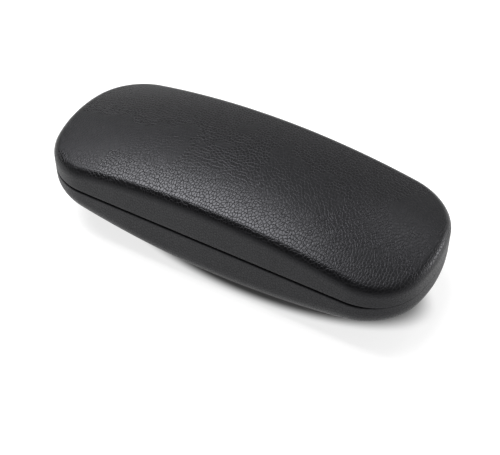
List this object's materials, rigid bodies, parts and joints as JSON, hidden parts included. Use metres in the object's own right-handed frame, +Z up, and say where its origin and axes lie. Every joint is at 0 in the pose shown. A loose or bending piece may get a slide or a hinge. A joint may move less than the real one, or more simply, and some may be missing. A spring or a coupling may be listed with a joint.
{
  "type": "hard eyeglasses case",
  "caption": "Hard clamshell glasses case, oval with domed lid and rounded base, padded and covered in grained imitation leather, with a spring hinge along the back.",
  "frame": {"origin": "centre of the bounding box's bottom face, on the surface that the case stands on", "axes": "+X along the case's length, -Y out of the front (opening) side, +Y out of the hinge side, +Z up"},
  "size_m": [0.16, 0.0616, 0.0425],
  "materials": {
    "leather": "semi-gloss pebble grain",
    "foam": "matte",
    "steel": "satin",
    "hinge_steel": "satin",
    "flock": "matte flocked"
  },
  "bodies": {
    "base": {"base_leather": "leather", "base_padding": "foam", "base_shell": "steel", "base_lining": "flock", "base_rivets": "hinge_steel", "base_hinge_leaf_left": "hinge_steel", "base_hinge_leaf_right": "hinge_steel", "hinge_pin_left": "hinge_steel", "hinge_pin_right": "hinge_steel", "torsion_spring_left": "hinge_steel", "torsion_spring_right": "hinge_steel", "spine_leather": "leather", "hinge_flap": "flock"},
    "lid": {"lid_leather": "leather", "lid_padding": "foam", "lid_shell": "steel", "lid_lining": "flock", "lid_rivets": "hinge_steel", "lid_hinge_leaf_left": "hinge_steel", "lid_hinge_leaf_right": "hinge_steel"}
  },
  "joints": [
    {"name": "lid_hinge", "type": "hinge", "parent": "base", "child": "lid", "pos_m": [0, 0.0283, 0.0226], "axis": [-1, 0, 0], "range_deg": [0, 100], "stiffness_Nm_per_rad": 0.04, "springref_deg": -114.59, "deforming": ["spine_leather", "hinge_flap", "torsion_spring_left", "torsion_spring_right"]}
  ]
}
